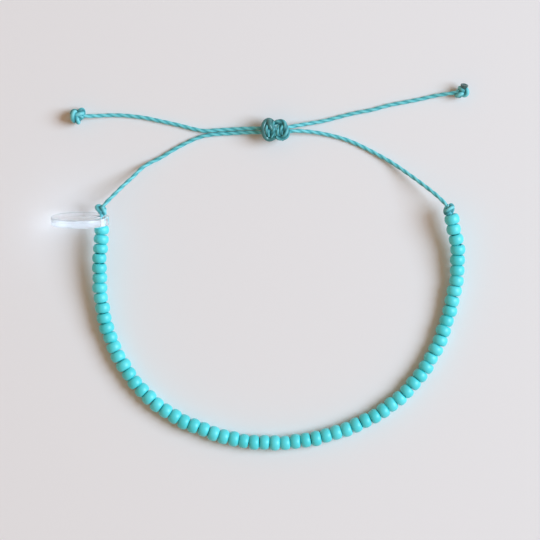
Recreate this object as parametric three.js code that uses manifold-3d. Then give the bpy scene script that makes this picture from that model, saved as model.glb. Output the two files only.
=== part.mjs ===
// A beaded bracelet on waxed cord, lying on a table: a loop of seed beads, a small clear disc
// charm at one end of the beads, and a sliding knot that draws the two cord ends tighter.
// Millimetres, +Z up, the table at z = 0. The loop is seen from above with +X to the right.
import * as THREE from 'three';
import { mergeVertices } from 'three/addons/utils/BufferGeometryUtils.js';
import Module from 'manifold-3d';

const wasm = await Module();
wasm.setup();

// The beads, and the cord that they are strung on
const BEADS_BETWEEN_POINTS = 3;
const BEAD_RADIUS = 1.5;
const BEAD_OVERLAP = 0.12;
const BEAD_FACE_RADIUS = 0.9;
const BEAD_SHOULDER_RADIUS = 1.34;
const BEAD_SHOULDER_PLACE = 0.32;
const BEAD_SIDES = 10;
const BEAD_SPREAD = 0.03;
const BEAD_QUICK_BEAT = 2.4;
const BEAD_SLOW_BEAT = 0.9;

// The waxed cord, its knots, and the gap that is kept between one piece and the next
const CORD_RADIUS = 0.4;
const CORD_SIDES = 8;
const CORD_STEPS = 40;
const TURN_SIDES = 7;
const TURN_STEPS = 12;
const STOPPER_RADIUS = 1.16;
const STOPPER_TURNS = [{ slant: 32, about: 0 }, { slant: -32, about: 50 }];
const TAIL_KNOT_RADIUS = 1.65;
const TAIL_KNOT_TURNS = [{ slant: 35, about: 0 }, { slant: -40, about: 60 }];
const KNOT_MIDDLE_SHARE = 0.88;
const KNOT_MIDDLE_SIDES = 10;
const KNOT_MIDDLE_RINGS = 6;
const CUT_END_RADIUS = 0.55;
const CHANNEL_RADIUS = 1.22;
const CHANNEL_SIDES = 14;
const BIGHT_STEPS = 11;

// The clear disc: it stands on its edge and leans back on the first bead
const DISC_RADIUS = 5.77;
const DISC_THICKNESS = 1.55;
const DISC_SIDES = 48;
const DISC_LEAN = THREE.MathUtils.degToRad(10.5);
const HOLE_RADIUS = 0.75;
const HOLE_ACROSS = 4.2;
const HOLE_BELOW = 1.55;
const HOLE_SIDES = 16;
const DRILL_LENGTH = DISC_THICKNESS * 2;

// How the curves run between the points of a route, and how close two corners are to be one
const CURVE_TENSION = 0.5;
const WELD_DISTANCE = 1e-5;

// Where the pieces sit, and which way each stopper knot's cord runs through it
const DISC_CENTRE = { x: -35.24, y: 12.76, z: 5.82 };
const LEFT_STOPPER_CENTRE = { x: -31.3, y: 15.3, z: 4.35 };
const LEFT_STOPPER_HEADING = THREE.MathUtils.degToRad(70);
const RIGHT_STOPPER_CENTRE = { x: 37.72, y: 15.42, z: 4.05 };
const RIGHT_STOPPER_HEADING = THREE.MathUtils.degToRad(118);
const LEFT_TAIL_KNOT_CENTRE = { x: -36.0, y: 33.55, z: 1.66 };
const RIGHT_TAIL_KNOT_CENTRE = { x: 40.5, y: 38.5, z: 1.66 };
const SLIDING_KNOT_CENTRE = { x: 3.43, y: 30.75, z: 2.17 };

// The bead string's route, with the middle of every third bead, from beside the disc round to
// the right stopper knot. The disc's edge holds up its left end, and the stiff cord its right
// end, so both rise from the table.
const BEAD_ROUTE = [
  { x: -31.0, y: 10.9, z: 4.2 },
  { x: -31.5, y: 5.3, z: 3.55 },
  { x: -31.5, y: -0.6, z: 2.7 },
  { x: -30.7, y: -6.6, z: 2.0 },
  { x: -28.8, y: -12.4, z: 1.6 },
  { x: -25.8, y: -17.8, z: 1.5 },
  { x: -21.8, y: -22.5, z: 1.5 },
  { x: -16.7, y: -26.3, z: 1.5 },
  { x: -10.9, y: -28.9, z: 1.5 },
  { x: -4.9, y: -30.8, z: 1.5 },
  { x: 1.2, y: -31.5, z: 1.5 },
  { x: 7.4, y: -31.3, z: 1.5 },
  { x: 13.5, y: -30.1, z: 1.5 },
  { x: 19.5, y: -28.0, z: 1.5 },
  { x: 24.9, y: -25.1, z: 1.5 },
  { x: 29.6, y: -21.2, z: 1.5 },
  { x: 33.4, y: -16.4, z: 1.5 },
  { x: 36.2, y: -11.1, z: 1.5 },
  { x: 38.1, y: -5.2, z: 1.65 },
  { x: 39.4, y: 0.8, z: 2.1 },
  { x: 39.6, y: 7.0, z: 2.95 },
  { x: 38.4, y: 13.0, z: 3.95 },
];

// The cord that the beads are strung on shows past the first bead, where it goes through the
// disc's hole, and past the last bead
const LEFT_THREAD_ROUTE = [
  { x: -31.0, y: 10.7, z: 4.2 },
  { x: -31.03, y: 12.2, z: 4.3 },
  { x: -31.08, y: 13.8, z: 4.33 },
];
const RIGHT_THREAD_ROUTE = [
  { x: 38.28, y: 12.9, z: 3.88 },
  { x: 38.12, y: 13.5, z: 3.95 },
  { x: 37.95, y: 14.13, z: 4.0 },
];

// The cut end that stands out of the right tail knot, from that knot's middle
const CUT_END_ROUTE = [
  { x: 0.1, y: 0.4, z: 0.3 },
  { x: 0.35, y: 1.1, z: 0.45 },
  { x: 0.5, y: 1.75, z: 0.5 },
];

// The first cord: left stopper knot, sliding knot, right tail knot
const FIRST_CORD_ROUTE = [
  { x: -30.2, y: 16.25, z: 4.3 },
  { x: -28.5, y: 18.0, z: 3.85 },
  { x: -26.85, y: 19.7, z: 3.1 },
  { x: -25.0, y: 21.45, z: 2.2 },
  { x: -23.3, y: 23.2, z: 1.35 },
  { x: -21.75, y: 24.25, z: 0.8 },
  { x: -19.52, y: 25.37, z: 0.5 },
  { x: -17.16, y: 26.83, z: 0.42 },
  { x: -14.94, y: 28.05, z: 0.42 },
  { x: -12.7, y: 29.1, z: 0.42 },
  { x: -10.7, y: 29.75, z: 0.42 },
  { x: -8.5, y: 30.05, z: 0.42 },
  { x: -6.0, y: 30.2, z: 0.48 },
  { x: -3.5, y: 30.32, z: 0.85 },
  { x: -1.2, y: 30.38, z: 1.55 },
  { x: 0.6, y: 30.34, z: 2.15 },
  { x: 2.0, y: 30.42, z: 2.5 },
  { x: 3.43, y: 30.78, z: 2.62 },
  { x: 4.9, y: 31.15, z: 2.45 },
  { x: 6.6, y: 31.5, z: 2.05 },
  { x: 8.4, y: 31.85, z: 1.5 },
  { x: 10.6, y: 32.25, z: 0.95 },
  { x: 13.3, y: 32.75, z: 0.55 },
  { x: 16.4, y: 33.58, z: 0.42 },
  { x: 19.6, y: 34.35, z: 0.42 },
  { x: 22.78, y: 34.95, z: 0.42 },
  { x: 25.95, y: 35.82, z: 0.42 },
  { x: 29.15, y: 36.44, z: 0.42 },
  { x: 32.3, y: 37.05, z: 0.42 },
  { x: 35.4, y: 37.75, z: 0.6 },
  { x: 38.5, y: 38.25, z: 1.2 },
];

// The second cord: right stopper knot, sliding knot, left tail knot
const SECOND_CORD_ROUTE = [
  { x: 36.75, y: 16.45, z: 4.0 },
  { x: 35.0, y: 18.1, z: 3.5 },
  { x: 32.4, y: 20.2, z: 2.6 },
  { x: 29.65, y: 22.25, z: 1.7 },
  { x: 26.8, y: 24.25, z: 0.95 },
  { x: 23.7, y: 26.05, z: 0.55 },
  { x: 20.5, y: 27.7, z: 0.42 },
  { x: 17.3, y: 29.05, z: 0.42 },
  { x: 13.9, y: 29.95, z: 0.5 },
  { x: 11.0, y: 30.45, z: 0.9 },
  { x: 8.6, y: 30.65, z: 1.45 },
  { x: 6.5, y: 30.6, z: 1.9 },
  { x: 4.9, y: 30.42, z: 1.75 },
  { x: 3.43, y: 30.72, z: 1.58 },
  { x: 2.0, y: 31.08, z: 1.75 },
  { x: 0.6, y: 31.16, z: 2.0 },
  { x: -1.2, y: 31.16, z: 1.65 },
  { x: -3.5, y: 31.12, z: 1.1 },
  { x: -6.0, y: 31.0, z: 0.75 },
  { x: -8.5, y: 30.85, z: 0.68 },
  { x: -10.7, y: 30.72, z: 0.6 },
  { x: -12.9, y: 31.1, z: 0.5 },
  { x: -15.4, y: 31.75, z: 0.42 },
  { x: -17.75, y: 32.3, z: 0.42 },
  { x: -20.1, y: 32.8, z: 0.42 },
  { x: -22.45, y: 33.3, z: 0.42 },
  { x: -24.85, y: 33.63, z: 0.42 },
  { x: -27.25, y: 33.83, z: 0.42 },
  { x: -29.65, y: 33.85, z: 0.48 },
  { x: -32.0, y: 33.7, z: 0.8 },
  { x: -33.9, y: 33.6, z: 1.3 },
];

// The sliding knot's turns round the two cords: each turn's place along the knot and how far
// out its crest stands. The turns make two lumps with a groove between them.
const SLIDING_KNOT_TURNS = [
  { place: -2.35, crest: 1.88 },
  { place: -1.6, crest: 2.16 },
  { place: -0.85, crest: 2.06 },
  { place: 0.65, crest: 1.9 },
  { place: 1.4, crest: 1.98 },
  { place: 2.15, crest: 1.86 },
];
const TURN_HALF_WIDTH = 0.27;
const TURN_SHOULDER = 0.13;
const KNOT_END_RADIUS = 1.55;
const KNOT_HALF_LENGTH = 2.75;
const GROOVE_PLACE = -0.1;
const GROOVE_RADIUS = 1.62;

// The sliding knot's outer bights, which lie over the turns: along, across and above its middle
const LEFT_BIGHT = [
  { x: -1.0, y: 1.45, z: 1.45 },
  { x: -1.75, y: 1.72, z: 1.0 },
  { x: -2.35, y: 1.1, z: 1.3 },
  { x: -2.5, y: 0.1, z: 1.6 },
  { x: -2.35, y: -0.9, z: 1.42 },
  { x: -1.75, y: -1.75, z: 0.95 },
  { x: -0.9, y: -1.85, z: 1.0 },
  { x: -0.4, y: -1.2, z: 1.5 },
  { x: -0.75, y: -0.4, z: 1.95 },
];
const RIGHT_BIGHT = [
  { x: 0.2, y: 0.7, z: 1.7 },
  { x: 0.5, y: 1.4, z: 1.3 },
  { x: 1.3, y: 1.62, z: 1.15 },
  { x: 2.1, y: 1.3, z: 1.3 },
  { x: 2.4, y: 0.4, z: 1.6 },
  { x: 2.45, y: -0.6, z: 1.5 },
  { x: 2.1, y: -1.4, z: 1.15 },
  { x: 1.2, y: -1.7, z: 1.05 },
  { x: 0.3, y: -1.5, z: 1.15 },
];

function vector(place) {
  return new THREE.Vector3(place.x, place.y, place.z);
}

function curveThrough(route) {
  return new THREE.CatmullRomCurve3(route.map(vector), false, 'catmullrom', CURVE_TENSION);
}

// A round or many-sided section of a cord
function roundSection(radius, sides) {
  const shape = new THREE.Shape();
  for (let side = 0; side < sides; side += 1) {
    const angle = (side / sides) * Math.PI * 2;
    if (side === 0) shape.moveTo(radius, 0);
    else shape.lineTo(radius * Math.cos(angle), radius * Math.sin(angle));
  }
  return shape;
}

function cordAlong(route, radius, sides, steps) {
  const settings = { steps, bevelEnabled: false, extrudePath: curveThrough(route) };
  return new THREE.ExtrudeGeometry(roundSection(radius, sides), settings);
}

// From a closed three.js geometry to a solid that can be joined and cut, and back
function solidOf(geometry) {
  const bare = geometry.index ? geometry.toNonIndexed() : geometry.clone();
  bare.deleteAttribute('normal');
  bare.deleteAttribute('uv');
  const merged = mergeVertices(bare, WELD_DISTANCE);
  return new wasm.Manifold(new wasm.Mesh({
    numProp: 3,
    vertProperties: new Float32Array(merged.attributes.position.array),
    triVerts: new Uint32Array(merged.index.array),
  }));
}

function geometryOf(solid) {
  const mesh = solid.getMesh();
  const geometry = new THREE.BufferGeometry();
  geometry.setAttribute('position', new THREE.BufferAttribute(new Float32Array(mesh.vertProperties), 3));
  geometry.setIndex(new THREE.BufferAttribute(new Uint32Array(mesh.triVerts), 1));
  geometry.computeVertexNormals();
  return geometry;
}

function joined(solids) {
  return solids.reduce((whole, solid) => whole.add(solid));
}

// One seed bead, turned about its thread, with flat ends and a rounded belly
function beadGeometry(radius, length) {
  const half = length / 2;
  const shoulder = BEAD_SHOULDER_PLACE * length;
  const stretch = radius / BEAD_RADIUS;
  const profile = [
    new THREE.Vector2(0, -half),
    new THREE.Vector2(BEAD_FACE_RADIUS * stretch, -half),
    new THREE.Vector2(BEAD_SHOULDER_RADIUS * stretch, -shoulder),
    new THREE.Vector2(radius, 0),
    new THREE.Vector2(BEAD_SHOULDER_RADIUS * stretch, shoulder),
    new THREE.Vector2(BEAD_FACE_RADIUS * stretch, half),
    new THREE.Vector2(0, half),
  ];
  return new THREE.LatheGeometry(profile, BEAD_SIDES);
}

// Every bead is a little larger or smaller than the next, as pressed glass beads are
function beadRadius(index) {
  const change = Math.sin(BEAD_QUICK_BEAT * index) * Math.cos(BEAD_SLOW_BEAT * index);
  return BEAD_RADIUS * (1 + BEAD_SPREAD * change);
}

// Where each bead sits, which way its thread runs there and how much room it has
function beadPlaces() {
  const curve = curveThrough(BEAD_ROUTE);
  const last = (BEAD_ROUTE.length - 1) * BEADS_BETWEEN_POINTS;
  const places = [];
  for (let index = 0; index <= last; index += 1) {
    const middle = curve.getPoint(index / last);
    const before = curve.getPoint(Math.max(index - 0.5, 0) / last);
    const after = curve.getPoint(Math.min(index + 0.5, last) / last);
    const room = before.distanceTo(after) * (index === 0 || index === last ? 2 : 1);
    places.push({ middle, heading: after.sub(before).normalize(), room });
  }
  return places;
}

// The beads press on each other, so the string is one body
function beadString() {
  const solids = beadPlaces().map(({ middle, heading, room }, index) => {
    const radius = beadRadius(index);
    const turn = new THREE.Quaternion().setFromUnitVectors(new THREE.Vector3(0, 1, 0), heading);
    const bead = beadGeometry(radius, room + BEAD_OVERLAP).applyQuaternion(turn);
    return solidOf(bead.translate(middle.x, middle.y, Math.max(middle.z, radius)));
  });
  for (const route of [LEFT_THREAD_ROUTE, RIGHT_THREAD_ROUTE]) {
    solids.push(solidOf(cordAlong(route, CORD_RADIUS, CORD_SIDES, route.length - 1)));
  }
  return geometryOf(joined(solids));
}

// A round plate with a hole for the thread near its rim
function charmDisc() {
  const plate = new THREE.CylinderGeometry(DISC_RADIUS, DISC_RADIUS, DISC_THICKNESS, DISC_SIDES);
  const drill = new THREE.CylinderGeometry(HOLE_RADIUS, HOLE_RADIUS, DRILL_LENGTH, HOLE_SIDES);
  drill.translate(HOLE_ACROSS, 0, -HOLE_BELOW);
  return geometryOf(solidOf(plate).subtract(solidOf(drill)));
}

// One turn of cord round an axis along X, slanted and then turned about that axis
function turnOfCord(turnRadius, slant, about) {
  const turn = new THREE.TorusGeometry(turnRadius, CORD_RADIUS, TURN_SIDES, TURN_STEPS);
  turn.rotateY(Math.PI / 2);
  turn.rotateZ(THREE.MathUtils.degToRad(slant));
  turn.rotateX(THREE.MathUtils.degToRad(about));
  return solidOf(turn);
}

// A tight overhand knot about X: a filled middle with slanting turns of the cord over it
function overhandKnot(radius, turns) {
  const middle = new THREE.SphereGeometry(
    radius * KNOT_MIDDLE_SHARE, KNOT_MIDDLE_SIDES, KNOT_MIDDLE_RINGS);
  const solids = turns.map(({ slant, about }) => turnOfCord(radius - CORD_RADIUS, slant, about));
  return joined([solidOf(middle), ...solids]);
}

// The right tail's cut end, a short melted stub that stands out of its knot
function cutEnd(route) {
  return solidOf(cordAlong(route, CUT_END_RADIUS, TURN_SIDES, route.length - 1));
}

// Turned round the cords' channel with a crest for each turn, under two outer bights
function slidingKnot() {
  const profile = [
    new THREE.Vector2(CHANNEL_RADIUS, -KNOT_HALF_LENGTH),
    new THREE.Vector2(KNOT_END_RADIUS, -KNOT_HALF_LENGTH),
  ];
  for (const { place, crest } of SLIDING_KNOT_TURNS) {
    if (place > GROOVE_PLACE && profile.at(-1).y < GROOVE_PLACE) {
      profile.push(new THREE.Vector2(GROOVE_RADIUS, GROOVE_PLACE));
    }
    profile.push(new THREE.Vector2(crest - TURN_SHOULDER, place - TURN_HALF_WIDTH));
    profile.push(new THREE.Vector2(crest, place));
    profile.push(new THREE.Vector2(crest - TURN_SHOULDER, place + TURN_HALF_WIDTH));
  }
  profile.push(new THREE.Vector2(KNOT_END_RADIUS, KNOT_HALF_LENGTH));
  profile.push(new THREE.Vector2(CHANNEL_RADIUS, KNOT_HALF_LENGTH));
  profile.push(profile[0].clone());
  const turns = new THREE.LatheGeometry(profile, CHANNEL_SIDES).rotateZ(-Math.PI / 2);
  const solids = [solidOf(turns)];
  for (const bight of [LEFT_BIGHT, RIGHT_BIGHT]) {
    solids.push(solidOf(cordAlong(bight, CORD_RADIUS, TURN_SIDES, BIGHT_STEPS)));
  }
  return geometryOf(joined(solids));
}

const beadGlass = new THREE.MeshStandardMaterial({ color: 0x5fcfd6, roughness: 0.3, metalness: 0 });
const waxedCord = new THREE.MeshStandardMaterial({ color: 0x6fbcc1, roughness: 0.6, metalness: 0 });
const clearResin = new THREE.MeshStandardMaterial({
  color: 0xe8edf2, roughness: 0.1, metalness: 0, transparent: true, opacity: 0.4,
});

const bracelet = new THREE.Group();

function addPiece(name, geometry, material, place = { x: 0, y: 0, z: 0 }) {
  const piece = new THREE.Mesh(geometry, material);
  piece.name = name;
  piece.position.set(place.x, place.y, place.z);
  bracelet.add(piece);
  return piece;
}

addPiece('bead_string', beadString(), beadGlass);

const disc = addPiece('charm_disc', charmDisc(), clearResin, DISC_CENTRE);
disc.rotation.x = DISC_LEAN;

const stopper = geometryOf(overhandKnot(STOPPER_RADIUS, STOPPER_TURNS));
const leftStopper = addPiece('stopper_knot_left', stopper, waxedCord, LEFT_STOPPER_CENTRE);
leftStopper.rotation.z = LEFT_STOPPER_HEADING;
const rightStopper = addPiece('stopper_knot_right', stopper.clone(), waxedCord, RIGHT_STOPPER_CENTRE);
rightStopper.rotation.z = RIGHT_STOPPER_HEADING;

addPiece('sliding_knot', slidingKnot(), waxedCord, SLIDING_KNOT_CENTRE);

const tailKnot = overhandKnot(TAIL_KNOT_RADIUS, TAIL_KNOT_TURNS);
addPiece('tail_knot_left', geometryOf(tailKnot), waxedCord, LEFT_TAIL_KNOT_CENTRE);
addPiece('tail_knot_right', geometryOf(tailKnot.add(cutEnd(CUT_END_ROUTE))), waxedCord,
  RIGHT_TAIL_KNOT_CENTRE);

addPiece('cord_first', cordAlong(FIRST_CORD_ROUTE, CORD_RADIUS, CORD_SIDES, CORD_STEPS), waxedCord);
addPiece('cord_second', cordAlong(SECOND_CORD_ROUTE, CORD_RADIUS, CORD_SIDES, CORD_STEPS), waxedCord);

export default bracelet;
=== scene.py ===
import math

import bmesh
import bpy
import numpy as np
from mathutils import Matrix, Quaternion, Vector
from mathutils.geometry import interpolate_bezier


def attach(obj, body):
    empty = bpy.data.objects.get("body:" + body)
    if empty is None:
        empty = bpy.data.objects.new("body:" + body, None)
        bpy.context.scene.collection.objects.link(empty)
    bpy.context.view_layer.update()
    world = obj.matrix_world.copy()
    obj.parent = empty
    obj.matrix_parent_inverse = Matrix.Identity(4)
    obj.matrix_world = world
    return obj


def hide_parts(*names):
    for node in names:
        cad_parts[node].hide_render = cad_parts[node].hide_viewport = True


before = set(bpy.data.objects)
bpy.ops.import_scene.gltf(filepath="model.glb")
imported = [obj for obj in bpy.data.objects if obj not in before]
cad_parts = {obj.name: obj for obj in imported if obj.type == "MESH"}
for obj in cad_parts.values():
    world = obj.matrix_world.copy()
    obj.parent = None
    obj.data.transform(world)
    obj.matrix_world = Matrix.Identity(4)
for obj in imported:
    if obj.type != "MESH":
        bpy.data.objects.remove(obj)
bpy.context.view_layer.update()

# The camera looks straight down from half a metre, as the photograph's does, and its square
# frame is 108 mm across on the table.
CAMERA_HEIGHT = 0.5
FRAME_WIDTH = 0.108
CAMERA_PLACE = (0.00232, 0.00293)
SENSOR_WIDTH = 36.0

camera_data = bpy.data.cameras.new("overhead_camera")
camera_data.sensor_width = SENSOR_WIDTH
camera_data.lens = SENSOR_WIDTH * CAMERA_HEIGHT / FRAME_WIDTH
camera = bpy.data.objects.new("overhead_camera", camera_data)
camera.location = (*CAMERA_PLACE, CAMERA_HEIGHT)
bpy.context.collection.objects.link(camera)
bpy.context.scene.camera = camera
bpy.context.scene.view_settings.view_transform = "Standard"


# The two cords are waxed polyester, 0.8 mm thick, laid up from two plies. Each leaves a
# stopper knot, goes through the sliding knot and ends in a tail knot, and lies on the table.
# The section of both plies is swept along each cord's smooth route with a steady twist.
MM = 0.001
CORD_DIAMETER = 0.8 * MM
CORD_CREST = 0.405 * MM
CORD_LAY = 3.85 * MM
CORD_STEP = 0.2 * MM
CORD_GROOVE = 0.25
SECTION_SIDES = 20
ROUTE_STEPS = 24
SHARP_EDGE = math.radians(55)
WELD_DISTANCE = 0.0001 * MM
SHADE_SCALE = 900.0
FIBRE_SCALE = 6000.0
FIBRE_DEPTH = 0.03 * MM

FIRST_CORD_ROUTE = [
    (-31.1, 15.1, 4.4), (-30.2, 16.25, 4.3), (-28.5, 18.0, 3.85), (-26.85, 19.7, 3.1),
    (-25.0, 21.45, 2.2), (-23.3, 23.2, 1.35), (-21.75, 24.25, 0.8), (-19.52, 25.37, 0.5),
    (-17.16, 26.83, 0.42), (-14.94, 28.05, 0.42), (-12.7, 29.1, 0.42), (-10.7, 29.75, 0.42),
    (-8.5, 30.05, 0.42), (-6.0, 30.2, 0.48), (-3.5, 30.32, 0.85), (-1.2, 30.38, 1.55),
    (0.6, 30.34, 2.15), (2.0, 30.42, 2.5), (3.43, 30.78, 2.62), (4.9, 31.15, 2.45),
    (6.6, 31.5, 2.05), (8.4, 31.85, 1.5), (10.6, 32.25, 0.95), (13.3, 32.75, 0.55),
    (16.4, 33.58, 0.42), (19.6, 34.35, 0.42), (22.78, 34.95, 0.42), (25.95, 35.82, 0.42),
    (29.15, 36.44, 0.42), (32.3, 37.05, 0.42), (35.4, 37.75, 0.6), (38.5, 38.2, 1.2),
    (40.0, 38.4, 1.6),
]
SECOND_CORD_ROUTE = [
    (37.75, 15.25, 4.1), (36.75, 16.45, 4.0), (35.0, 18.1, 3.5), (32.4, 20.2, 2.6),
    (29.65, 22.25, 1.7), (26.8, 24.25, 0.95), (23.7, 26.05, 0.55), (20.5, 27.7, 0.42),
    (17.3, 29.05, 0.42), (13.9, 29.95, 0.5), (11.0, 30.45, 0.9), (8.6, 30.65, 1.45),
    (6.5, 30.6, 1.9), (4.9, 30.42, 1.75), (3.43, 30.72, 1.58), (2.0, 31.08, 1.75),
    (0.6, 31.16, 2.0), (-1.2, 31.16, 1.65), (-3.5, 31.12, 1.1), (-6.0, 31.0, 0.75),
    (-8.5, 30.85, 0.68), (-10.7, 30.72, 0.6), (-12.9, 31.1, 0.5), (-15.4, 31.75, 0.42),
    (-17.75, 32.3, 0.42), (-20.1, 32.8, 0.42), (-22.45, 33.3, 0.42), (-24.85, 33.63, 0.42),
    (-27.25, 33.83, 0.42), (-29.65, 33.85, 0.48), (-32.0, 33.72, 0.8), (-33.9, 33.65, 1.3),
    (-35.4, 33.6, 1.6),
]


class Wire:
    """One output socket of a material's nodes. Arithmetic on it adds Math nodes."""

    def __init__(self, tree, socket=None):
        self.tree = tree
        self.socket = socket

    def node(self, kind, settings=(), inputs=(), output=0):
        """Adds a node, with its settings first, and gives the wire of one of its outputs."""
        made = self.tree.nodes.new(kind)
        for name, value in dict(settings).items():
            if name == "stops":
                self.fill_ramp(made.color_ramp, value)
            else:
                setattr(made, name, value)
        for name, value in dict(inputs).items():
            self.feed(made.inputs[name], value)
        return Wire(self.tree, made.outputs[output])

    def feed(self, socket, value):
        if isinstance(value, Wire):
            self.tree.links.new(value.socket, socket)
        else:
            socket.default_value = value

    def fill_ramp(self, ramp, stops):
        while len(ramp.elements) < len(stops):
            ramp.elements.new(1.0)
        for element, (place, colour) in zip(ramp.elements, stops):
            element.position = place
            element.color = colour

    def maths(self, operation, first, second=0.0):
        return self.node("ShaderNodeMath", {"operation": operation}, {0: first, 1: second})

    def __add__(self, other):
        return self.maths("ADD", self, other)

    def __radd__(self, other):
        return self.maths("ADD", other, self)

    def __sub__(self, other):
        return self.maths("SUBTRACT", self, other)

    def __rsub__(self, other):
        return self.maths("SUBTRACT", other, self)

    def __mul__(self, other):
        return self.maths("MULTIPLY", self, other)

    def __rmul__(self, other):
        return self.maths("MULTIPLY", other, self)

    def noise(self, scale, detail):
        """Soft blotches fixed to the piece, from 0 to 1."""
        body = self.node("ShaderNodeTexCoord", output="Object")
        return self.node("ShaderNodeTexNoise", {}, {"Vector": body, "Scale": scale, "Detail": detail})

    def blend(self, share, first, second):
        """Mixes two colours by a share from 0 to 1."""
        return self.node("ShaderNodeMix", {"data_type": "RGBA"}, {0: share, 6: first, 7: second}, 2)

    def bump(self, height, strength, depth):
        return self.node("ShaderNodeBump", {},
                         {"Strength": strength, "Distance": depth, "Height": height})


def tint(red, green, blue):
    """A screen colour, 0 to 255, as the linear light that a shader works in."""
    return (*(((c / 255 + 0.055) / 1.055) ** 2.4 for c in (red, green, blue)), 1.0)


def new_finish(name, **constants):
    """A material with its Principled shader; returns both, and a wire to build nodes from."""
    finish = bpy.data.materials.new(name)
    finish.use_nodes = True
    shader = finish.node_tree.nodes["Principled BSDF"]
    for socket, value in constants.items():
        shader.inputs[socket.replace("_", " ")].default_value = value
    return finish, shader, Wire(finish.node_tree)


def cord_finish(name, groove, middle, crest):
    """Waxed cord: painted shade where the plies meet and a painted highlight on their backs, with fine
    fibres along it.
    """
    finish, shader, start = new_finish(name, Roughness=0.5)
    sweep = start.node("ShaderNodeUVMap", {"uv_map": "UVMap"})
    around = start.node("ShaderNodeSeparateXYZ", {}, {0: sweep}, "Y")
    # Painted shade in the grooves between the plies and a painted highlight on the plies' backs.
    painted_ply_shading = start.maths("COSINE", around * (4 * math.pi)) * 0.5 + 0.5
    start.feed(shader.inputs["Base Color"], start.node(
        "ShaderNodeValToRGB", {"stops": [(0.05, groove), (0.5, middle), (1.0, crest)]},
        {0: painted_ply_shading * 0.7 + start.noise(SHADE_SCALE, 3.0) * 0.4 - 0.05}))
    start.feed(shader.inputs["Normal"], start.bump(start.noise(FIBRE_SCALE, 2.0), 0.25, FIBRE_DEPTH))
    return finish


def evenly(line, spacing):
    """The same line with its points at an even spacing."""
    far = np.concatenate([[0], np.cumsum(np.linalg.norm(np.diff(line, axis=0), axis=1))])
    places = np.linspace(0, far[-1], max(2, round(far[-1] / spacing) + 1))
    return np.stack([np.interp(places, far, line[:, axis]) for axis in range(3)], axis=1)


def smooth_line(route, spacing=CORD_STEP):
    """Evenly spaced points along the smooth curve through a route, in metres."""
    points = [Vector(place) for place in route]
    points = [2 * points[0] - points[1], *points, 2 * points[-1] - points[-2]]
    fine = [points[1]]
    for before, start, stop, after in zip(points, points[1:], points[2:], points[3:]):
        fine += interpolate_bezier(start, start + (stop - before) / 6,
                                   stop - (after - start) / 6, stop, ROUTE_STEPS)[1:]
    return evenly(np.array([tuple(point) for point in fine]) * MM, spacing)


def cord_section(name, groove):
    """The outline of two plies pressed together, with grooves this deep between them."""
    outline = bpy.data.curves.new(name, "CURVE")
    spline = outline.splines.new("POLY")
    spline.points.add(SECTION_SIDES - 1)
    for index, point in enumerate(spline.points):
        angle = 2 * math.pi * index / SECTION_SIDES
        reach = CORD_CREST * (1 - groove * (1 - abs(math.cos(angle))))
        point.co = (reach * math.cos(angle), reach * math.sin(angle), 0, 1)
    spline.use_cyclic_u = True
    section = bpy.data.objects.new(name, outline)
    bpy.context.collection.objects.link(section)
    return section


def settle(name, mesh, finish, node):
    """Makes a finished mesh a piece of the bracelet that stands for a CAD node."""
    mesh.polygons.foreach_set("use_smooth", [True] * len(mesh.polygons))
    mesh.set_sharp_from_angle(angle=SHARP_EDGE)
    mesh.materials.clear()
    mesh.materials.append(finish)
    piece = bpy.data.objects.new(name, mesh)
    bpy.context.collection.objects.link(piece)
    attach(piece, "root")
    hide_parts(node)
    return piece


def twisted_cord(name, node, lines, finish, widths=None, section=None):
    """Sweeps a twisted section along one or more lines; widths are shares of the cord's."""
    path = bpy.data.curves.new(name, "CURVE")
    path.dimensions = "3D"
    path.bevel_mode = "OBJECT"
    path.bevel_object = section or plies
    path.use_fill_caps = True
    for number, line in enumerate(lines):
        spline = path.splines.new("POLY")
        spline.points.add(len(line) - 1)
        gone = np.concatenate([[0], np.cumsum(np.linalg.norm(np.diff(line, axis=0), axis=1))])
        for index, point in enumerate(spline.points):
            point.co = (*line[index], 1)
            point.tilt = 2 * math.pi * gone[index] / CORD_LAY
            point.radius = 1.0 if widths is None else widths[number][index]
    swept = bpy.data.objects.new(name, path)
    bpy.context.collection.objects.link(swept)
    mesh = bpy.data.meshes.new_from_object(swept.evaluated_get(bpy.context.evaluated_depsgraph_get()))
    bpy.data.objects.remove(swept)
    shell = bmesh.new()
    shell.from_mesh(mesh)
    bmesh.ops.remove_doubles(shell, verts=shell.verts, dist=WELD_DISTANCE)
    bmesh.ops.recalc_face_normals(shell, faces=shell.faces)
    shell.to_mesh(mesh)
    shell.free()
    return settle(name, mesh, finish, node)


plies = cord_section("two_plies", CORD_GROOVE)
waxed_cord = cord_finish("waxed_cord", tint(58, 160, 169), tint(94, 194, 203), tint(126, 220, 227))

first_line = smooth_line(FIRST_CORD_ROUTE)
first_cord = twisted_cord("first_cord", "cord_first", [first_line], waxed_cord)
second_line = smooth_line(SECOND_CORD_ROUTE)
second_cord = twisted_cord("second_cord", "cord_second", [second_line], waxed_cord)


# The beads are pressed glass seed beads, 3 mm across and 2 mm long with a 1 mm hole, in an
# opaque turquoise with a soft shine. Each is a rounded ring spun about its hole, and they sit
# tight against each other on the cord.
BEAD_RADIUS = 1.5 * MM
BEAD_HOLE_RADIUS = 0.5 * MM
BEAD_SPREAD = 0.045
BEAD_QUICK_BEAT = 2.4
BEAD_SLOW_BEAT = 0.9
BEAD_WOBBLE = 0.07
BEAD_FILL = 0.97
BEAD_FACE_RADIUS = 0.9 * MM
BEAD_STRAY = 0.07 * MM
BEAD_STRAY_BEAT = 4.3
BEAD_STRAY_START = -1.4
BEAD_NOD_BEAT = 5.1
BEAD_TURN_BEAT = 3.7
BEAD_TONE_BEAT = 7.3
BEAD_TONE_START = 1.1
BEAD_CLOUD_SCALE = 420.0
BEAD_GRAIN_SCALE = 1500.0
BEAD_GRAIN_DEPTH = 0.05 * MM
BEAD_SEGMENTS = 40
BEAD_RING = 18
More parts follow.
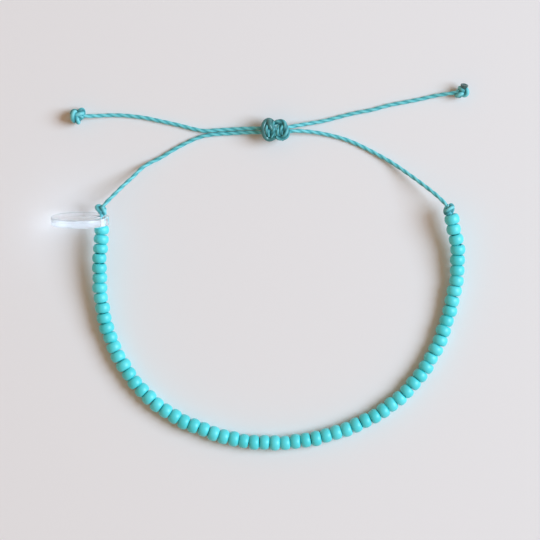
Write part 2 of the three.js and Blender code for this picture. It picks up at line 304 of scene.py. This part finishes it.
BEADS_BETWEEN_POINTS = 3
BEAD_ROUTE = [
    (-31.0, 10.9, 4.2), (-31.5, 5.3, 3.55), (-31.5, -0.6, 2.7), (-30.7, -6.6, 2.0),
    (-28.8, -12.4, 1.6), (-25.8, -17.8, 1.5), (-21.8, -22.5, 1.5), (-16.7, -26.3, 1.5),
    (-10.9, -28.9, 1.5), (-4.9, -30.8, 1.5), (1.2, -31.5, 1.5), (7.4, -31.3, 1.5),
    (13.5, -30.1, 1.5), (19.5, -28.0, 1.5), (24.9, -25.1, 1.5), (29.6, -21.2, 1.5),
    (33.4, -16.4, 1.5), (36.2, -11.1, 1.5), (38.1, -5.2, 1.65), (39.4, 0.8, 2.1),
    (39.6, 7.0, 2.95), (38.4, 13.0, 3.95),
]


def bead_place(number):
    """The point on the bead route at a bead's number, whole or between two beads."""
    points = [Vector(place) * MM for place in BEAD_ROUTE]
    points = [2 * points[0] - points[1], *points, 2 * points[-1] - points[-2]]
    index = min(int(number / BEADS_BETWEEN_POINTS), len(BEAD_ROUTE) - 2)
    share = number / BEADS_BETWEEN_POINTS - index
    before, start, stop, after = points[index:index + 4]
    leave = start + (stop - before) / 6
    arrive = stop - (after - start) / 6
    rest = 1 - share
    return (rest ** 3 * start + 3 * rest ** 2 * share * leave
            + 3 * rest * share ** 2 * arrive + share ** 3 * stop)


def bead_mesh():
    """One bead about Z, 1 m in radius and 1 m long, from a rounded ring spun about its hole."""
    shell = bmesh.new()
    bmesh.ops.create_circle(shell, segments=BEAD_RING, radius=1.0)
    hole, face = BEAD_HOLE_RADIUS / BEAD_RADIUS, BEAD_FACE_RADIUS / BEAD_RADIUS
    for vert in shell.verts:
        depth = 1 - face if vert.co.x > 0 else face - hole
        vert.co = (face + vert.co.x * depth, 0, vert.co.y / 2)
    bmesh.ops.spin(shell, geom=shell.verts[:] + shell.edges[:], cent=(0, 0, 0), axis=(0, 0, 1),
                   dvec=(0, 0, 0), angle=2 * math.pi, steps=BEAD_SEGMENTS, use_merge=True,
                   use_duplicate=False)
    bmesh.ops.recalc_face_normals(shell, faces=shell.faces)
    mesh = bpy.data.meshes.new("one_bead")
    shell.to_mesh(mesh)
    shell.free()
    return mesh


one_bead = bead_mesh()
string = bmesh.new()
tone = string.verts.layers.float.new("bead_tone")
last = (len(BEAD_ROUTE) - 1) * BEADS_BETWEEN_POINTS
bead_middles = []
for index in range(last + 1):
    before, after = bead_place(max(index - 0.5, 0)), bead_place(min(index + 0.5, last))
    room = (after - before).length * (2 if index in (0, last) else 1)
    change = math.sin(BEAD_QUICK_BEAT * index) * math.cos(BEAD_SLOW_BEAT * index)
    radius = BEAD_RADIUS * (1 + BEAD_SPREAD * change)
    middle = bead_place(index)
    stray = Vector((0, 0, 1)).cross(after - before).normalized() * BEAD_STRAY
    middle += stray * math.sin(BEAD_STRAY_BEAT * index + BEAD_STRAY_START)
    middle.z = max(middle.z, radius)
    bead_middles.append(middle)
    nod = Quaternion((1, 0, 0), BEAD_WOBBLE * math.sin(BEAD_NOD_BEAT * index))
    swing = Quaternion((0, 1, 0), BEAD_WOBBLE * math.cos(BEAD_TURN_BEAT * index))
    turn = (after - before).to_track_quat("Z", "Y") @ nod @ swing
    size = Matrix.Diagonal((radius, radius, room * BEAD_FILL, 1))
    count = len(string.verts)
    string.from_mesh(one_bead)
    string.verts.ensure_lookup_table()
    fresh = string.verts[count:]
    bmesh.ops.transform(string, verts=fresh,
                        matrix=Matrix.Translation(middle) @ turn.to_matrix().to_4x4() @ size)
    for vert in fresh:
        vert[tone] = 0.5 + 0.5 * math.sin(BEAD_TONE_BEAT * index + BEAD_TONE_START)
beads_mesh = bpy.data.meshes.new("seed_beads")
string.to_mesh(beads_mesh)
string.free()

glass, glass_shader, start = new_finish("turquoise_glass", Roughness=0.45, Coat_Weight=0.5,
                                        Coat_Roughness=0.45)
bead_tone = start.node("ShaderNodeAttribute", {"attribute_name": "bead_tone"}, output="Fac")
bead_shade = bead_tone * 0.45 + start.noise(BEAD_CLOUD_SCALE, 3.0) * 0.6 - 0.05
start.feed(glass_shader.inputs["Base Color"],
           start.blend(bead_shade, tint(56, 206, 212), tint(88, 224, 232)))
start.feed(glass_shader.inputs["Normal"],
           start.bump(start.noise(BEAD_GRAIN_SCALE, 2.0), 0.12, BEAD_GRAIN_DEPTH))
settle("seed_beads", beads_mesh, glass, "bead_string")


# The cord that the beads are strung on: one length of the same waxed cord, from the left
# stopper knot through the disc's hole and every bead to the right stopper knot.
THREAD_START = [(-31.1, 14.7, 4.35), (-31.03, 12.4, 4.3)]
THREAD_END = [(38.12, 13.5, 3.95), (37.9, 14.9, 4.05)]
thread_route = THREAD_START + [tuple(middle / MM) for middle in bead_middles] + THREAD_END
twisted_cord("bead_thread", "bead_string", [smooth_line(thread_route)], waxed_cord)


# The stopper and tail knots are overhand knots in the same cord. One is tied loose in a line
# and its ends are drawn apart until its turns press on each other, and then it is set in each
# place, turned and pressed into that knot's own size.
KNOT_RING = 2.35
KNOT_TUBE = 1.05
KNOT_OPENING = 0.12
KNOT_POINTS = 160
KNOT_LEAD = [(4.65, 5.0, 0.0), (4.65, 0.9, 0.0), (4.15, 0.5, 0.0)]
KNOT_DRAWS = 1500
KNOT_PULL = 9.0
KNOT_DRAW_IN = 0.4
KNOT_STEP = 0.24
KNOT_MIDDLE_REACH = 2.0
KNOT_LEAST_SQUARE = 1e-18
KNOT_MARCH = 0.12
TURN_CLEARANCE = 1.7
LEAD_STEPS = 10
LEAD_WIDTH = 0.8
LEAD_SMOOTHING = 12
KNOT_GROOVE = 0.55
FILLING_WIDTH = 1.5


def tied_knot():
    """The centreline of a tight overhand knot along X, about the origin, in cord diameters."""
    angle = np.linspace(KNOT_OPENING, 4 * math.pi - KNOT_OPENING, KNOT_POINTS)
    out = KNOT_RING + KNOT_TUBE * np.cos(1.5 * angle)
    height = KNOT_TUBE * np.sin(1.5 * angle)
    loop = np.stack([out * np.cos(angle), out * np.sin(angle), height], axis=1)
    lead = np.array(KNOT_LEAD)
    line = np.concatenate([lead, loop, lead[::-1] * [1, -1, 1]])
    near = round(TURN_CLEARANCE / KNOT_STEP)
    share = KNOT_PULL / KNOT_DRAWS
    for draw in range(KNOT_DRAWS):
        line = evenly(line, KNOT_STEP)
        line[1:-1] += ((line[2:] + line[:-2]) / 2 - line[1:-1]) / 2
        rows = np.arange(len(line))
        square = (line ** 2).sum(1)
        gap = square[:, None] + square[None] - 2 * line @ line.T
        one, other = np.nonzero((gap < 1) & (rows[:, None] + near < rows[None]))
        apart = line[one] - line[other]
        reach = np.sqrt(np.maximum((apart ** 2).sum(1), KNOT_LEAST_SQUARE))
        push = apart * ((1 - reach) / reach / 2)[:, None]
        moved, hits = np.zeros_like(line), np.ones(len(line))
        for ends, sign in ((one, 1), (other, -1)):
            np.add.at(moved, ends, sign * push)
            np.add.at(hits, ends, 1)
        line[1:-1] += (moved / np.maximum(hits - 1, 1)[:, None])[1:-1]
        line[0] += [-KNOT_DRAW_IN * share, share, 0]
        line[-1] += [-KNOT_DRAW_IN * share, -share, 0]
    line = line[::-1, [1, 0, 2]]
    inner = line[np.abs(line[:, 0]) < KNOT_MIDDLE_REACH]
    return line - (inner.min(0) + inner.max(0)) / 2


def place_knot(name, node, middle, size, rope, turned, hand, reach, leads):
    """Sets the tied knot in its place, pressed into a box of the size given.

    The rope is its width and the leads are the cord's ends in it, all in mm. It is turned by two
    angles, about Z and then X, and it is cut off past its reach. A hand of -1 mirrors it.
    """
    core = overhand[np.abs(overhand[:, 0]) < reach] * [1, 1, hand]
    heading, roll = turned
    turn = np.array(Matrix.Rotation(math.radians(heading), 3, "Z")
                    @ Matrix.Rotation(math.radians(roll), 3, "X"))
    core = core @ turn.T
    low, high = core.min(0), core.max(0)
    core = (core - (low + high) / 2) * (np.array(size) - rope) / (high - low) + middle
    if np.linalg.norm(core[0] - leads[0]) > np.linalg.norm(core[-1] - leads[0]):
        core = core[::-1]
    line = evenly(np.concatenate([[leads[0]], core, [leads[1]]]), KNOT_MARCH)
    for smoothing in range(LEAD_SMOOTHING):
        for part in (slice(1, LEAD_STEPS), slice(-LEAD_STEPS, -1)):
            rows = np.arange(len(line))[part]
            line[rows] = (line[rows - 1] + line[rows] * 2 + line[rows + 1]) / 4
    width = np.full(len(line), rope * MM / CORD_DIAMETER)
    ramp = np.linspace(LEAD_WIDTH / width[0], 1, LEAD_STEPS)
    width[:LEAD_STEPS] *= ramp
    width[-LEAD_STEPS:] *= ramp[::-1]
    filling = evenly(np.array([leads[0], middle, leads[1]]), KNOT_MARCH)
    return twisted_cord(name, node, [line * MM, filling * MM], tight_cord,
                        [width, np.full(len(filling), FILLING_WIDTH)], knot_plies)


overhand = tied_knot()
knot_plies = cord_section("knot_plies", KNOT_GROOVE)
# The knots take the cord's finish in darker colours: painted shade in their tight turns and grooves.
tight_cord = cord_finish("tight_cord", tint(24, 104, 112), tint(80, 178, 186), tint(134, 220, 227))
place_knot("left_stopper_knot", "stopper_knot_left", middle=(-31.25, 14.9, 4.4),
           size=(2.5, 2.6, 2.4), rope=1.35, turned=(70, 60), hand=1, reach=1.5,
           leads=[(-31.1, 14.3, 4.35), (-30.8, 15.55, 4.35)])
place_knot("right_stopper_knot", "stopper_knot_right", middle=(37.85, 14.97, 4.1),
           size=(2.65, 2.6, 2.4), rope=1.4, turned=(150, 100), hand=1, reach=1.4,
           leads=[(37.95, 14.4, 4.0), (37.4, 15.7, 4.1)])
left_tail = place_knot("left_tail_knot", "tail_knot_left", middle=(-36.0, 33.56, 1.66),
                       size=(3.7, 3.55, 3.3), rope=1.55, turned=(0, 195), hand=-1, reach=1.3,
                       leads=[(-36.4, 33.4, 1.7), (-34.9, 33.6, 1.55)])
right_tail = place_knot("right_tail_knot", "tail_knot_right", middle=(40.45, 38.42, 1.5),
                        size=(3.4, 2.85, 2.95), rope=1.5, turned=(10, 330), hand=-1, reach=1.3,
                        leads=[(39.5, 38.35, 1.5), (40.8, 39.1, 1.9)])


# The right tail's cut end was melted so that it can't fray: a short dark stub that stands out
# of the knot, with a dished face and a rolled rim.
MELTED_SEGMENTS = 32
STUB_RADIUS = 0.78
SCORCH_SCALE = 1100.0
SCORCH_DEPTH = 0.06 * MM
# Each point of the profile is its share of the radius and its share of the height.
STUB_PROFILE = [(0.62, 0.0), (0.72, 0.35), (0.9, 0.62), (1.0, 0.8), (0.97, 0.95), (0.82, 1.0),
                (0.6, 0.92), (0.25, 0.86)]


def melted_finish(name, low, high):
    """Wax-hard melted cord: dark, smooth and glossy, with scorched blotches."""
    finish, shader, start = new_finish(name, Roughness=0.3, Coat_Weight=0.5, Coat_Roughness=0.12)
    scorch = start.noise(SCORCH_SCALE, 3.0)
    start.feed(shader.inputs["Base Color"], start.blend(scorch, low, high))
    start.feed(shader.inputs["Normal"], start.bump(scorch, 0.4, SCORCH_DEPTH))
    return finish


def melted_stub(name, node, foot, face, radius, finish):
    """A stub about the line from its foot to the middle of its face."""
    foot, face = Vector(foot), Vector(face)
    tall = (face - foot).length
    shell = bmesh.new()
    ring = [shell.verts.new((across * radius, 0, up * tall)) for across, up in STUB_PROFILE]
    edges = [shell.edges.new(pair) for pair in zip(ring, ring[1:])]
    bmesh.ops.spin(shell, geom=ring + edges, cent=(0, 0, 0), axis=(0, 0, 1), dvec=(0, 0, 0),
                   angle=2 * math.pi, steps=MELTED_SEGMENTS, use_merge=True, use_duplicate=False)
    bmesh.ops.holes_fill(shell, edges=[edge for edge in shell.edges if edge.is_boundary])
    turn = (face - foot).to_track_quat("Z", "Y").to_matrix().to_4x4()
    bmesh.ops.transform(shell, matrix=Matrix.Scale(MM, 4) @ Matrix.Translation(foot) @ turn,
                        verts=shell.verts)
    bmesh.ops.recalc_face_normals(shell, faces=shell.faces)
    mesh = bpy.data.meshes.new(name)
    shell.to_mesh(mesh)
    shell.free()
    return settle(name, mesh, finish, node)


scorched_wax = melted_finish("scorched_wax", tint(12, 48, 46), tint(52, 112, 110))
tail_stub = melted_stub("right_tail_stub", "tail_knot_right", (40.85, 38.85, 2.0),
                        (41.03, 39.82, 2.5), STUB_RADIUS, scorched_wax)


# The sliding knot is a short length of the same cord, wound round both cords in two groups of
# turns. Its ends come over the turns in heavier loops, and one of them, the left, was melted.
SLIDING_KNOT = np.array((3.43, 30.75, 2.17))
STRAND_STEP = 0.12 * MM
WRAP_STEPS = 12
MELTED_GROOVE = 0.04
CUT_END_RADIUS = 0.42
# Each turn of a group is its place along the cords and how far out it reaches.
WRAP_GROUPS = [[(-2.15, 1.55), (-1.35, 1.62), (-0.2, 1.5)], [(0.1, 1.5), (1.1, 1.58), (1.85, 1.5)]]
# Each strand's points are measured from the knot's middle, in mm.
COLLAR = [
    (-0.35, 1.35, -0.6), (-0.8, 1.82, 0.15), (-1.4, 1.98, 0.55), (-2.0, 1.62, 0.95),
    (-2.38, 0.95, 1.2), (-2.42, 0.05, 1.3), (-2.3, -0.8, 1.15), (-1.95, -1.5, 0.85),
    (-1.35, -1.87, 0.7), (-0.65, -1.78, 0.8), (-0.1, -1.45, 0.9),
]
CROSSING = [
    (-1.45, 1.9, 0.2), (-1.3, 1.75, 0.95), (-1.2, 1.3, 1.5), (-1.12, 0.75, 1.7),
    (-0.85, 0.3, 1.62), (-0.55, -0.1, 1.4),
]
LEFT_BARS = [
    [(-1.75, 1.1, 1.0), (-1.8, 0.6, 1.55), (-1.78, 0.0, 1.68), (-1.62, -0.6, 1.6), (-1.42, -1.25, 1.2)],
    [(-0.3, 0.9, 0.9), (-0.3, 0.2, 1.5), (-0.42, -0.4, 1.6), (-0.7, -1.0, 1.35), (-0.8, -1.4, 0.9)],
]
MIDDLE_STRAND = [(-0.5, 1.6, 0.5), (-0.45, 1.2, 1.3), (-0.4, 0.7, 1.55), (-0.15, 0.2, 1.45),
                 (0.1, -0.3, 1.3), (0.0, -0.9, 1.05), (-0.2, -1.3, 0.7)]
RIGHT_BAND = [
    (-0.1, 1.35, 0.6), (0.35, 1.68, 0.95), (0.95, 1.72, 1.1), (1.55, 1.5, 1.25), (1.92, 0.95, 1.42),
    (2.0, 0.2, 1.5), (1.98, -0.55, 1.42), (1.78, -1.2, 1.2), (1.25, -1.6, 1.05), (0.6, -1.62, 1.0),
    (0.1, -1.4, 0.95),
]
OUTER_LOOP = [
    (1.9, 0.9, 0.4), (2.3, 0.3, 0.6), (2.45, -0.4, 0.7), (2.35, -1.05, 0.6), (1.9, -1.55, 0.4),
    (1.2, -1.8, 0.2),
]
RIGHT_BARS = [
    [(0.55, 0.6, 1.1), (0.4, 0.1, 1.45), (0.42, -0.5, 1.5), (0.65, -1.15, 1.15)],
    [(1.3, 1.1, 1.1), (1.15, 0.5, 1.5), (1.05, -0.2, 1.52), (1.2, -0.9, 1.25)],
]


def knot_line(route):
    """A smooth line through points measured from the knot's middle."""
    return smooth_line(np.array(route) + SLIDING_KNOT, STRAND_STEP)


def tapered(lines, shares):
    """Widths along each line that go evenly through the shares at its start, thirds and end."""
    return [np.interp(np.linspace(0, 1, len(line)), [0, 1 / 3, 2 / 3, 1], share)
            for line, share in zip(lines, shares)]


coils = []
for group in WRAP_GROUPS:
    steps = WRAP_STEPS * len(group)
    places, crests = zip(*group)
    coil = []
    for step in range(steps):
        share = step / (steps - 1)
        along = np.interp(share, [0, 0.5, 1], places)
        out = np.interp(share, [0, 0.5, 1], crests) - CORD_DIAMETER / MM / 2
        angle = 2 * math.pi * len(group) * share - math.pi / 2
        coil.append((along, out * math.sin(angle), out * math.cos(angle)))
    coils.append(knot_line(coil))
twisted_cord("sliding_knot_wraps", "sliding_knot", coils, waxed_cord)

# The sliding knot's strands are the same cord painted darker: painted shade among its turns.
knot_cord = cord_finish("knot_cord", tint(20, 94, 100), tint(58, 148, 154), tint(110, 196, 202))
strands = [knot_line(RIGHT_BAND), knot_line(OUTER_LOOP), knot_line(MIDDLE_STRAND),
           *map(knot_line, RIGHT_BARS), *map(knot_line, LEFT_BARS)]
# Each strand has its width at its start, thirds and end, in cord widths.
strand_shares = [(1.15, 1.25, 1.25, 1.1), (1.0, 1.05, 1.05, 1.0), (1.0, 1.15, 1.1, 0.95),
                 (0.95, 1.0, 1.0, 0.9), (0.95, 1.0, 1.0, 0.9),
                 (1.0, 1.05, 1.0, 0.85), (0.9, 0.95, 0.9, 0.8)]
twisted_cord("sliding_knot_strands", "sliding_knot", strands, knot_cord,
             tapered(strands, strand_shares))

smooth_rope = cord_section("smooth_rope", MELTED_GROOVE)
melted_wax = melted_finish("melted_wax", tint(20, 88, 88), tint(58, 140, 140))
melted_lines = [knot_line(COLLAR), knot_line(CROSSING)]
melted_shares = [(1.1, 1.3, 1.25, 0.9), (1.0, 1.35, 1.1, 0.8)]
twisted_cord("sliding_knot_melted", "sliding_knot", melted_lines, melted_wax,
             tapered(melted_lines, melted_shares), smooth_rope)
cut_foot, cut_face = np.array([(0.35, 0.5, 0.9), (0.24, 0.76, 1.8)]) + SLIDING_KNOT
cut_wax = melted_finish("cut_wax", tint(70, 150, 152), tint(112, 190, 192))
melted_stub("sliding_knot_end", "sliding_knot", cut_foot, cut_face, CUT_END_RADIUS, cut_wax)


# The charm is a plain disc of clear cast resin, 11.5 mm across, with a hole near its rim that
# the cord goes through. It stands on its edge and leans back on the first bead. The plate is
# extruded from its outline and hole, and its edges are rounded over.
DISC_CENTRE = Vector((-35.24, 12.76, 5.82)) * MM
DISC_RADIUS = 5.77 * MM
DISC_THICKNESS = 1.55 * MM
DISC_LEAN = math.radians(10.5)
DISC_SEGMENTS = 96
DISC_EDGE = 0.16 * MM
DISC_EDGE_STEPS = 4
DISC_CORNER = math.radians(60)
DISC_SMOOTH = math.radians(12)
HOLE_RADIUS = 0.75 * MM
HOLE_PLACE = (4.2 * MM, 1.55 * MM)

plate = bmesh.new()
bmesh.ops.create_circle(plate, segments=DISC_SEGMENTS, radius=DISC_RADIUS)
bmesh.ops.create_circle(plate, segments=DISC_SEGMENTS, radius=HOLE_RADIUS,
                        matrix=Matrix.Translation((*HOLE_PLACE, 0)))
bmesh.ops.bridge_loops(plate, edges=plate.edges[:])
bmesh.ops.translate(plate, verts=plate.verts, vec=(0, 0, -DISC_THICKNESS / 2))
whole = bmesh.ops.extrude_face_region(plate, geom=plate.faces[:])
raised = [item for item in whole["geom"] if isinstance(item, bmesh.types.BMVert)]
bmesh.ops.translate(plate, verts=raised, vec=(0, 0, DISC_THICKNESS))
bmesh.ops.recalc_face_normals(plate, faces=plate.faces)
corners = [edge for edge in plate.edges
           if len(edge.link_faces) == 2 and edge.calc_face_angle(0) > DISC_CORNER]
bmesh.ops.bevel(plate, geom=corners, offset=DISC_EDGE, offset_type="OFFSET",
                segments=DISC_EDGE_STEPS, profile=0.5, affect="EDGES", material=-1, clamp_overlap=True)
upright = Matrix.Rotation(DISC_LEAN + math.pi / 2, 4, "X")
bmesh.ops.transform(plate, matrix=Matrix.Translation(DISC_CENTRE) @ upright, verts=plate.verts)
bmesh.ops.recalc_face_normals(plate, faces=plate.faces)
disc_mesh = bpy.data.meshes.new("clear_disc")
plate.to_mesh(disc_mesh)
plate.free()

resin, resin_shader, start = new_finish("clear_resin", Roughness=0.16, IOR=1.42,
                                        Transmission_Weight=0.84,
                                        Base_Color=tint(252, 252, 254))
open_resin = start.node("ShaderNodeBsdfTransparent", {}, {"Color": (0.98, 0.985, 0.99, 1)})
shadow_ray = start.node("ShaderNodeLightPath", output="Is Shadow Ray")
solid_resin = Wire(resin.node_tree, resin_shader.outputs["BSDF"])
start.feed(resin.node_tree.nodes["Material Output"].inputs["Surface"], start.node(
    "ShaderNodeMixShader", {}, {0: shadow_ray * 0.95, 1: solid_resin, 2: open_resin}))
settle("clear_disc", disc_mesh, resin, "charm_disc")
disc_mesh.set_sharp_from_angle(angle=DISC_SMOOTH)


# The table: a plain pale floor under plain soft light, a large window-like source from the
# right and a dim warm fill from all round. Shiny and clear pieces see the room's pale walls.
FLOOR_REACH = 4.0
LAMP_PLACE = Vector((1.20, 0.13, 1.05))
LAMP_SIZE = 1.05
LAMP_POWER = 32.0
LAMP_COLOUR = (0.655, 0.84, 1.0)
FILL_STRENGTH = 0.43
FILL_COLOUR = (1.0, 0.64, 0.38, 1)
WALL_STRENGTH = 0.88
WALL_COLOUR = (0.93, 0.94, 0.96, 1)

floor_mesh = bpy.data.meshes.new("floor")
ground = bmesh.new()
bmesh.ops.create_grid(ground, x_segments=1, y_segments=1, size=FLOOR_REACH)
ground.to_mesh(floor_mesh)
ground.free()
matte = new_finish("pale_matte", Roughness=0.95, Base_Color=tint(232, 230, 231))[0]
floor_mesh.materials.append(matte)
floor = bpy.data.objects.new("floor", floor_mesh)
bpy.context.collection.objects.link(floor)

lamp_data = bpy.data.lights.new("soft_window", "AREA")
lamp_data.shape = "DISK"
lamp_data.size = LAMP_SIZE
lamp_data.energy = LAMP_POWER
lamp_data.color = LAMP_COLOUR
lamp = bpy.data.objects.new("soft_window", lamp_data)
lamp.location = LAMP_PLACE
lamp.rotation_euler = (-LAMP_PLACE).to_track_quat("-Z", "Y").to_euler()
bpy.context.collection.objects.link(lamp)

world = bpy.data.worlds.new("soft_room")
world.use_nodes = True
fill = world.node_tree.nodes["Background"]
fill.inputs["Color"].default_value = FILL_COLOUR
fill.inputs["Strength"].default_value = FILL_STRENGTH
room = Wire(world.node_tree, fill.outputs["Background"])
walls = room.node("ShaderNodeBackground", {}, {"Color": WALL_COLOUR, "Strength": WALL_STRENGTH})
mirrored = room.node("ShaderNodeLightPath", output="Is Glossy Ray")
seen_through = room.node("ShaderNodeLightPath", output="Is Transmission Ray")
walls_share = room.maths("MAXIMUM", mirrored, seen_through)
room.feed(world.node_tree.nodes["World Output"].inputs["Surface"],
          room.node("ShaderNodeMixShader", {}, {0: walls_share, 1: room, 2: walls}))
bpy.context.scene.world = world

for section in (plies, knot_plies, smooth_rope):
    bpy.data.objects.remove(section)
